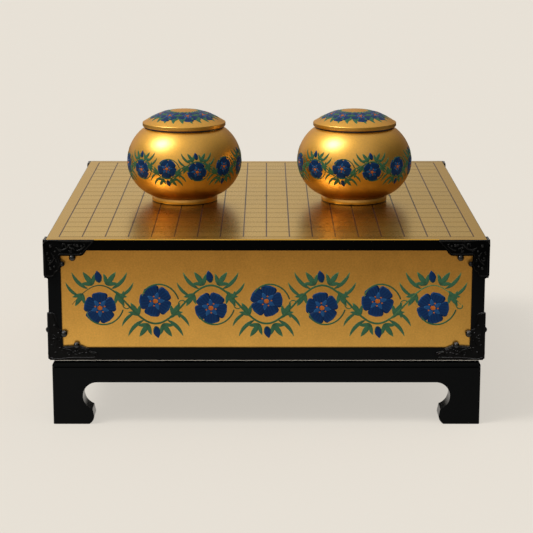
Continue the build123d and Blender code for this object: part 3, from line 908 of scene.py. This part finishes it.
# %% The ornament's drawing
BORDERS = {
    "upper": [
        (1.6, 1.6), (24, 1.6), (46.4, 1.6), (46.6, 2.6), (39.2, 10.4),
        (36.6, 13.2), (33.0, 14.1), (24, 14.1), (14.7, 14.2),
    ],
    "lower": [
        (1.6, 1.6), (24, 1.6), (43.4, 1.6), (45.4, 3.6), (43.2, 5.8),
        (39.4, 7.4), (37.2, 9.9), (30.6, 12.4), (22, 11.9), (12.9, 11.3),
    ],
}
SIDE_BORDERS = {
    "upper": [(1.6, 1.6), (8.0, 1.6), (14.6, 1.6), (14.7, 9.0)],
    "lower": [(1.6, 1.6), (7.0, 1.6), (12.8, 1.6), (12.9, 9.0)],
}
LEGS = {
    "upper": [
        (14.7, 20.4), (15.9, 23.9), (14.0, 27.2), (13.4, 29.6), (10.2, 31.9),
        (8.6, 35.2), (3.0, 35.4), (1.6, 33.0), (1.6, 18),
    ],
    "lower": [
        (12.9, 22.0), (11.8, 28.2), (8.8, 31.6), (7.2, 37.6), (5.0, 43.6), (1.6, 44.4), (1.6, 22),
    ],
}
VINES = [
    smooth_line([(12.0, 7.6), (16.5, 9.8), (21.5, 8.6), (24.5, 5.2), (28.5, 4.6)]),
    smooth_line([(7.4, 12.6), (9.8, 16.4), (8.6, 20.8), (5.6, 23.2), (5.2, 25.2)]),
    curl((19.4, 5.6), 2.9, 1.2, -5.4, 0.2, 18),
    curl((5.6, 18.6), 2.4, 0.4, 5.2, 0.2, 18),
    curl((28.8, 9.6), 2.4, 2.0, 5.2, 0.2, 18),
    smooth_line([(38.5, 3.8), (40.0, 5.4), (37.6, 8.0), (34.0, 10.2), (31.4, 10.4)]),
]
LEAVES = [  # root, heading and length
    (13.4, 8.6, 0.5, 5.4), (22.6, 7.6, -0.9, 4.6), (28.6, 4.6, 0.2, 4.4), (24.0, 10.6, 0.3, 5.0),
    (9.2, 14.6, 1.0, 5.0), (7.6, 21.6, 2.3, 4.6), (4.6, 11.4, 1.9, 4.2), (11.4, 19.0, 0.9, 3.8),
]
BEADS = [(11.2, 11.2), (26.2, 7.6), (10.2, 26.0), (36.6, 6.0)]
FRONT_REACH, SIDE_REACH = 50.0, 14.0  # what lies farther along a plate is left out
CAST = 0  # an ornament has one finish, the metal, so its number is 0
print(len(VINES), "vines,", len(LEAVES), "leaves and", len(BEADS), "beads to a front plate")


def plate_ornament(relief, level, front):
    """A raised border, curling stems with leaves, and small beads."""
    flip = -1 if level == "upper" else 1
    border = (BORDERS if front else SIDE_BORDERS)[level] + LEGS[level]
    reach = FRONT_REACH if front else SIDE_REACH
    rim = [(u, flip * v) for u, v in smooth_line(border, 4, closed=True)]
    strand(relief, rim, 1.1, 0.55, CAST, (1.0, 1.0))
    for vine in VINES:
        if max(u for u, v in vine) < reach:
            strand(relief, [(u, flip * v) for u, v in vine], 1.5, 0.7, CAST, (0.6, 0.35))
    for u, v, heading, long in LEAVES:
        if u < reach - 2:
            root, way = (u, flip * v), flip * heading
            patch(relief, root, way, long, 1.3, 0.7, CAST, leaf_shape, bend=flip * 0.5)
    for u, v in BEADS:
        if u < reach:
            bead(relief, (u, flip * v), 1.1, 1.0, CAST)


# %% [markdown]
# ## Laying the ornament on the plates
# A plate's place is told by the outer corner of its fitting, by the ways from the middle of
# the set to that corner, and by whether the plate faces the end or the side.

# %% Ornament in place
def plate_frame(end, side, level):
    """Outer corner of a fitting's two plates, in millimetres, and the ways out to it."""
    out = UPPER_OUT if level == "upper" else LOWER_OUT
    low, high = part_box(f"{end}_{side}_{level}_fitting")
    z0 = (high.z if level == "upper" else low.z) / MM
    sx, sy = (-1 if side == "left" else 1), (-1 if end == "front" else 1)
    return post_x + out, post_y + out, z0, sx, sy


def plate_place(corner, wing):
    """How a plate's drawing is laid: along the front or back, or along the side."""
    reach, deep, z0, sx, sy = corner
    if wing == "front":
        return lambda u, v, h: (sx * (reach - u), sy * (deep + h), z0 + v)
    return lambda u, v, h: (sx * (reach + h), sy * (deep - u), z0 + v)


corners = {
    (end, side, level): plate_frame(end, side, level)
    for end in ("front", "back") for side in ("left", "right") for level in ("upper", "lower")
}
for (end, side, level), corner in corners.items():
    for wing in ("front", "side"):
        name = f"{end}_{side}_{level}_ornament_{wing}"
        relief = Relief(name, plate_place(corner, wing), [metal])
        plate_ornament(relief, level, wing == "front")
        relief.finish("case", "black_metal")

# %% [markdown]
# ## Felt
# A sheet of felt keeps the case from scratching the stand. It is cut from cloth and laid on
# loose, so it is a thin slab with soft edges and a fuzzy, even tone. It takes the place of
# the plain solid, and its flat size is that solid's. As it lies flat, a cloth simulation
# would change nothing.

# %% Felt sheet
felt = Finish("wool_felt", Specular_IOR_Level=0.15, Sheen_Weight=0.3, Sheen_Roughness=0.6)
point, _ = felt.place()
fibre, blotch = felt.noise(point, 1600.0, 4.0), felt.noise(point, 30.0, 2.0)
felt.set(Base_Color=felt.mix(fibre * 0.7 + blotch * 0.3, srgb(206, 201, 193), srgb(238, 234, 226)))
felt.set(Roughness=fibre * 0.1 + 0.85, Normal=felt.bump(fibre, 0.8, 0.0002))
PRESSED = 0.35 * MM  # how much each face gives way at the rim


def felt_sheet(low, high, rows=44, columns=40):
    """A thin slab in a grid of faces, its rim pressed thinner as cut cloth is."""
    size, middle = high - low, (low + high) / 2
    points, faces = [], []
    for level in (0, 1):
        for i in range(rows + 1):
            for j in range(columns + 1):
                x, y = (j / columns - 0.5) * size.x, (i / rows - 0.5) * size.y
                drop = PRESSED if i in (0, rows) or j in (0, columns) else 0.0
                z = low.z + (drop if level == 0 else size.z - drop)
                points.append((middle.x + x, middle.y + y, z))
    layer = (rows + 1) * (columns + 1)

    def at(level, i, j):
        return level * layer + i * (columns + 1) + j

    for i in range(rows):
        for j in range(columns):
            faces.append((at(1, i, j), at(1, i, j + 1), at(1, i + 1, j + 1), at(1, i + 1, j)))
            faces.append((at(0, i, j), at(0, i + 1, j), at(0, i + 1, j + 1), at(0, i, j + 1)))
    ring = [(0, j) for j in range(columns)] + [(i, columns) for i in range(rows)]
    ring += [(rows, j) for j in range(columns, 0, -1)] + [(i, 0) for i in range(rows, 0, -1)]
    for k, here in enumerate(ring):
        there = ring[(k + 1) % len(ring)]
        faces.append((at(0, *here), at(0, *there), at(1, *there), at(1, *here)))
    return mesh_piece("felt_pad", points, faces, [felt])


felt_low, felt_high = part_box("stand_felt")
pad = felt_sheet(felt_low, felt_high)
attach(pad, "stand")
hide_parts("stand_felt")

# %% [markdown]
# ## Nails
# The nails' heads are small domes. They are turned here in finer steps than the solid has,
# so that each catches a round highlight. A side plate's nails sit a little higher or lower
# than the front plate's, because their shanks would meet inside the wood.

# %% Nail heads
NAILS = {
    "upper": ((7.0, 6.0), (33.0, 5.5), (6.5, 28.0)),
    "lower": ((7.0, 6.0), (33.0, 5.5), (6.5, 33.0)),
}
HEAD_R, HEAD_RISE, NAIL_SHIFT = 1.6, 0.95, 3.5
SIDE_NAILS = 12.0  # nails nearer to the corner than this are in the side plate too


def nail_spots():
    """Where each head sits, in millimetres, and which way it looks."""
    spots = []
    for (end, side, level), (reach, deep, z0, sx, sy) in corners.items():
        flip = -1 if level == "upper" else 1
        for along, up in NAILS[level]:
            spot = (sx * (reach - along), sy * deep, z0 + flip * up)
            spots.append((Vector(spot), Vector((0, sy, 0))))
            if along < SIDE_NAILS:
                spot = (sx * reach, sy * (deep - along), z0 + flip * (up + NAIL_SHIFT))
                spots.append((Vector(spot), Vector((sx, 0, 0))))
    return spots


def nail_heads(spots, rings=5, around=20):
    """All the heads in one mesh, each a half ball pressed flatter."""
    points, faces = [], []
    up = Vector((0, 0, 1))
    for spot, outward in spots:
        start, sideways = len(points), up.cross(outward)
        for i in range(rings + 1):
            rise = math.pi / 2 * i / rings
            r, h = HEAD_R * math.cos(rise), HEAD_RISE * math.sin(rise)
            for k in range(around):
                a = math.tau * k / around
                flat = sideways * (r * math.cos(a)) + up * (r * math.sin(a))
                points.append((spot + flat + outward * h) * MM)
        for i in range(rings):
            for k in range(around):
                a, b = start + i * around + k, start + i * around + (k + 1) % around
                faces.append((a, b, b + around, a + around))
        faces.append(tuple(start + k for k in reversed(range(around))))
        faces.append(tuple(start + rings * around + k for k in range(around)))
    print(len(spots), "nail heads")
    return mesh_piece("nail_heads", points, faces, [metal])


heads = nail_heads(nail_spots())
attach(heads, "case")
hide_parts("fitting_nails")

# %% [markdown]
# ## Studio floor
# The set stands on a plain pale floor. What the camera sees of it is partly its own pale
# tone and partly its lighting, so the set's soft shadow stays while the lamps' own pattern
# fades. In reflections the floor is that pale tone too, but darker far in front of the set,
# behind it and to its sides, where a studio's floor runs into the dark room. To light
# bouncing up from it, it is a plain matt floor.

# %% Floor
PALE = srgb(231, 225, 215)
NIGHT, MIRRORED = (0.0, 0.0, 0.0), (0.96, 0.90, 0.82)
OWN_SHARE = 0.70  # how much of the floor's look is its own tone
HALF_SIDE = 9.0
square = [(sx * HALF_SIDE, sy * HALF_SIDE, 0) for sx, sy in ((-1, -1), (1, -1), (1, 1), (-1, 1))]
ground = Finish("studio_floor", Specular_IOR_Level=0.0, Roughness=1.0, Emission_Strength=1.0)
mesh_piece("floor", square, [(0, 1, 2, 3)], [ground])


def ray_kinds(graph):
    """1 for what the camera sees directly, and 1 for what it sees in a mirror or glass."""
    camera_ray = graph.add("ShaderNodeLightPath", out="Is Camera Ray")
    glossy, clear = camera_ray.other("Is Glossy Ray"), camera_ray.other("Is Transmission Ray")
    return camera_ray, glossy.math("MAXIMUM", clear)


_, (x, y, z) = ground.place()
camera_ray, mirror_ray = ray_kinds(ground)
# where each darkening is halfway, and how wide its edge is, in metres
in_front, behind = (y * -1.0).above(0.82, 0.9), y.above(0.3, 0.5)
on_right, on_left = x.above(0.35, 1.3), (x * -1.0).above(0.9, 1.2)
shown = (1 - in_front * 0.92) * (1 - on_right * 0.8) * (1 - behind * 0.6) * (1 - on_left * 0.6)
own = ground.mix(shown, NIGHT, MIRRORED)
lit = ground.mix(camera_ray, (0.76, 0.73, 0.69), tuple(c * (1 - OWN_SHARE) * 0.91 for c in PALE))
glow = ground.mix(camera_ray, NIGHT, tuple(c * OWN_SHARE for c in PALE))
ground.set(Base_Color=ground.mix(mirror_ray, lit, NIGHT))
ground.set(Emission_Color=ground.mix(mirror_ray, glow, own))

# %% [markdown]
# ## Background
# The world shows the same pale tone to the camera and in reflections, where it darkens to
# both sides, most of all low down on the right, away from the lamps. The light that it
# gives is a soft, even fill.

# %% World
FILL = 0.55
world = bpy.data.worlds.new("studio")
bpy.context.scene.world = world
world.use_nodes = True
sky = Graph(world.node_tree)
sky.tree.nodes.clear()
side_way, _, upward = sky.parts(sky.add("ShaderNodeTexCoord", out="Generated"))
camera_ray, mirror_ray = ray_kinds(sky)
# the same for the parts of a direction, which go from -1 to 1
on_right, on_left = side_way.above(0.56, 1.0), (side_way * -1.0).above(0.85, 0.4)
low_right = side_way.above(0.06, 0.22) * (1 - upward.above(0.45, 0.3))
shown = (1 - on_right * 0.84) * (1 - low_right * 0.42) * (1 - on_left * 0.6)
tone = sky.mix(mirror_ray * (1 - shown), PALE, (0.01, 0.01, 0.01))
seen = sky.add("ShaderNodeBackground", None, {"Color": tone, "Strength": 1.0})
fill = sky.add("ShaderNodeBackground", None, {"Color": (1.0, 0.98, 0.95, 1.0), "Strength": FILL})
direct = camera_ray.math("MAXIMUM", mirror_ray)
both = sky.add("ShaderNodeMixShader", None, {0: direct, 1: fill, 2: seen})
sky.add("ShaderNodeOutputWorld", None, {"Surface": both})
print("fill light", FILL)

# %% [markdown]
# ## Lamps
# One broad soft lamp stands high on the left and a little in front. Its place follows from
# the large highlight on the upper left of each bowl: the surface there must mirror the lamp
# into the camera. A smaller, brighter core in the same direction gives the balls, nails and
# edges of the black parts their points of light.

# %% Lamps
LAMP_WAY = Vector((-0.585, -0.227, 0.78))


def sun(name, spread, strength):
    """A lamp as wide in the sky as spread, in degrees."""
    data = bpy.data.lights.new(name, "SUN")
    data.angle, data.energy, data.color = math.radians(spread), strength, (1.0, 0.98, 0.95)
    holder = add_object(name, data)
    holder.rotation_euler = (-LAMP_WAY).to_track_quat("-Z", "Y").to_euler()
    print(name, spread, "degrees wide")


sun("broad_lamp", 44.0, 0.8)
sun("lamp_core", 22.0, 1.5)

# %% [markdown]
# ## Camera
# The photo was taken from in front and a little above, from about two metres away. The
# place, tilt and lens below come from fitting the set's known corners to the picture.

# %% Camera
EYE_PLACE, DOWN = (0.00007, -1.9139, 0.5438), 12.84  # metres, and degrees below level
SENSOR, LENS = 36.0, 121.55  # millimetres
eye = bpy.data.cameras.new("eye")
eye.sensor_width, eye.lens = SENSOR, LENS
camera = add_object("camera", eye)
camera.location = EYE_PLACE
camera.rotation_euler = (math.radians(90 - DOWN), 0.0, 0.0)
bpy.context.scene.camera = camera
bpy.context.scene.view_settings.view_transform = "Standard"
print("lens", LENS, "mm, looking", DOWN, "degrees down")

# %% [markdown]
# ## Bringing the scene up to date
# The view layer is updated once more, so that every piece stands where it was put.

# %% Finish
bpy.context.view_layer.update()
